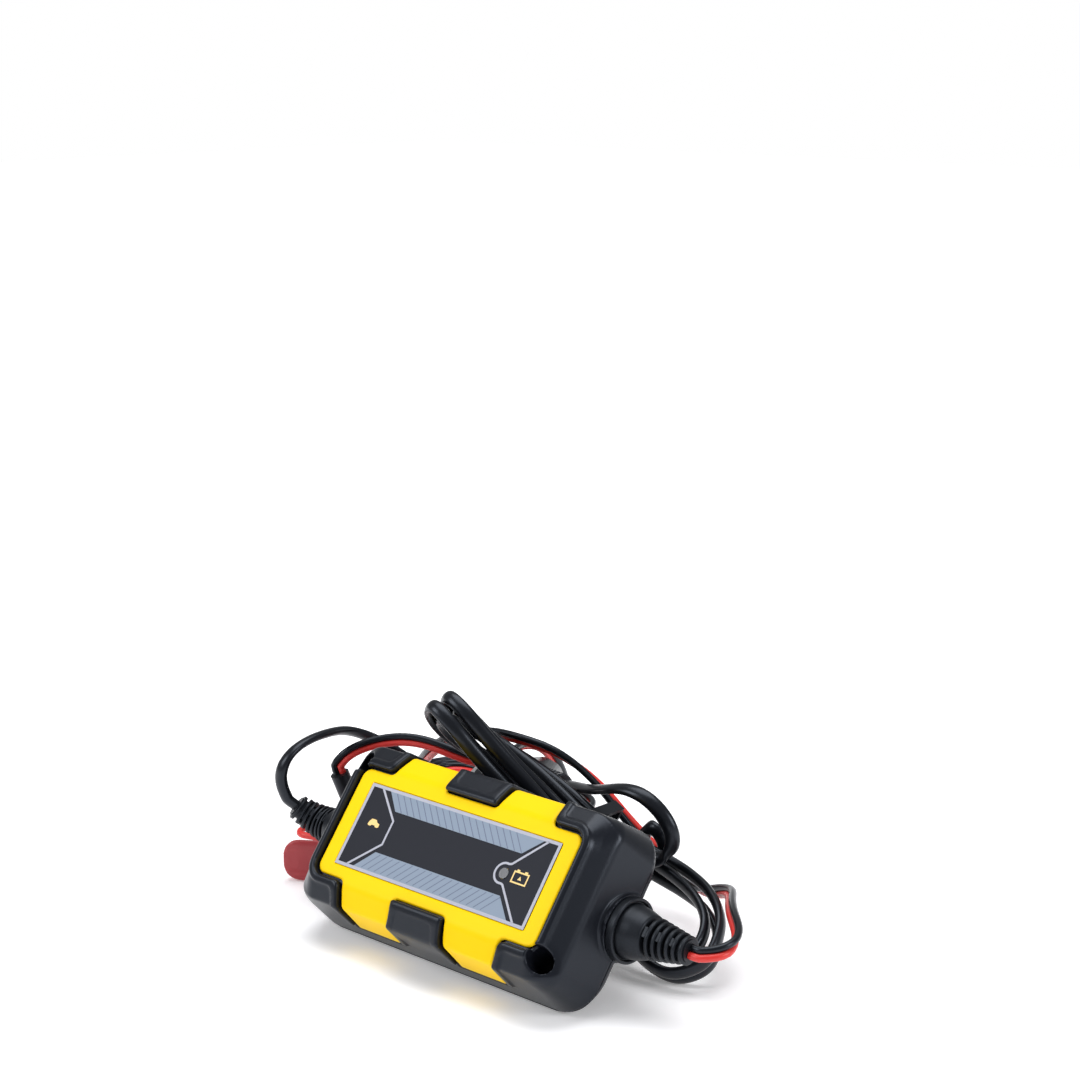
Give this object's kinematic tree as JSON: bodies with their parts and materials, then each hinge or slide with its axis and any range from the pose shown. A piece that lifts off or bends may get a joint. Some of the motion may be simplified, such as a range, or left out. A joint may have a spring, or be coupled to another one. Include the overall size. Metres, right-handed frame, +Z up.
{
  "type": "car battery charger",
  "caption": "Small sealed wall-plug battery charger lying back on its lower flank, with folded mains lead and plug, output lead and two spring clamps",
  "frame": {"origin": "on the ground under the middle of the casing's box, the casing leaning back on its lower rear flank", "axes": "+Z up, +X along the casing's length towards the output lead, -Y the side that the yellow face looks to"},
  "size_m": [0.2426, 0.1677, 0.078],
  "materials": {
    "case_plastic": "satin",
    "yellow_plastic": "satin",
    "label_film": "satin",
    "clear_window": "gloss",
    "seal_rubber": "matte",
    "screw_steel": "satin",
    "lead_rubber": "satin",
    "board_green": "satin",
    "ferrite": "matte",
    "bobbin_plastic": "matte",
    "winding_tape": "satin",
    "copper_winding": "gloss",
    "ceramic": "matte",
    "black_epoxy": "matte",
    "blue_sleeve": "gloss",
    "yellow_box": "gloss",
    "green_sleeve": "gloss",
    "sink_aluminium": "satin",
    "white_epoxy": "matte",
    "lamp": "gloss",
    "blue_core": "satin",
    "red_core_vinyl": "satin",
    "lead_vinyl": "satin",
    "tie_vinyl": "satin",
    "pin_brass": "polished",
    "twin_vinyl": "satin",
    "red_grip_plastic": "satin",
    "black_grip_plastic": "satin",
    "jaw_steel": "satin",
    "spring_steel": "satin"
  },
  "bodies": {
    "charger": {"front_shell": "case_plastic", "rear_shell": "case_plastic", "face_plate": "yellow_plastic", "label_panel": "label_film", "light_window": "clear_window", "case_seal": "seal_rubber", "case_screws": "screw_steel", "mains_strain_relief": "lead_rubber", "output_strain_relief": "lead_rubber", "circuit_board": "board_green", "board_screws": "screw_steel", "transformer_core": "ferrite", "transformer_bobbin": "bobbin_plastic", "transformer_winding": "winding_tape", "noise_choke": "copper_winding", "mains_fuse": "ceramic", "bridge_rectifier": "black_epoxy", "mains_capacitor": "blue_sleeve", "film_capacitor": "yellow_box", "output_capacitors": "green_sleeve", "switch_transistor": "black_epoxy", "heat_sink": "sink_aluminium", "output_diode": "black_epoxy", "control_chip": "black_epoxy", "optocoupler": "white_epoxy", "charge_light": "lamp", "small_resistors": "black_epoxy", "mains_solder_tails": "blue_core", "output_solder_tails": "red_core_vinyl", "mains_lead_start": "lead_vinyl", "mains_hank": "lead_vinyl", "mains_lead_end": "lead_vinyl", "hank_tie": "tie_vinyl", "plug_body": "lead_vinyl", "plug_pins": "pin_brass", "output_lead_start": "twin_vinyl", "output_hank": "twin_vinyl", "output_lead_end": "twin_vinyl", "lead_sleeve": "tie_vinyl", "red_core": "red_core_vinyl", "black_core": "lead_vinyl", "red_fixed_grip": "red_grip_plastic", "red_fixed_jaw": "jaw_steel", "red_pin": "spring_steel", "red_spring": "spring_steel", "black_fixed_grip": "black_grip_plastic", "black_fixed_jaw": "jaw_steel", "black_pin": "spring_steel", "black_spring": "spring_steel"},
    "red_clamp_half": {"red_moving_grip": "red_grip_plastic", "red_moving_jaw": "jaw_steel"},
    "black_clamp_half": {"black_moving_grip": "black_grip_plastic", "black_moving_jaw": "jaw_steel"}
  },
  "joints": [
    {"name": "red_clamp_hinge", "type": "hinge", "parent": "charger", "child": "red_clamp_half", "pos_m": [-0.065, 0.0326, 0.008], "axis": [0, 0, -1], "range_deg": [0, 25], "stiffness_Nm_per_rad": 0.6},
    {"name": "black_clamp_hinge", "type": "hinge", "parent": "charger", "child": "black_clamp_half", "pos_m": [-0.045, 0.084, 0.008], "axis": [0, 0, 1], "range_deg": [0, 25], "stiffness_Nm_per_rad": 0.6}
  ]
}
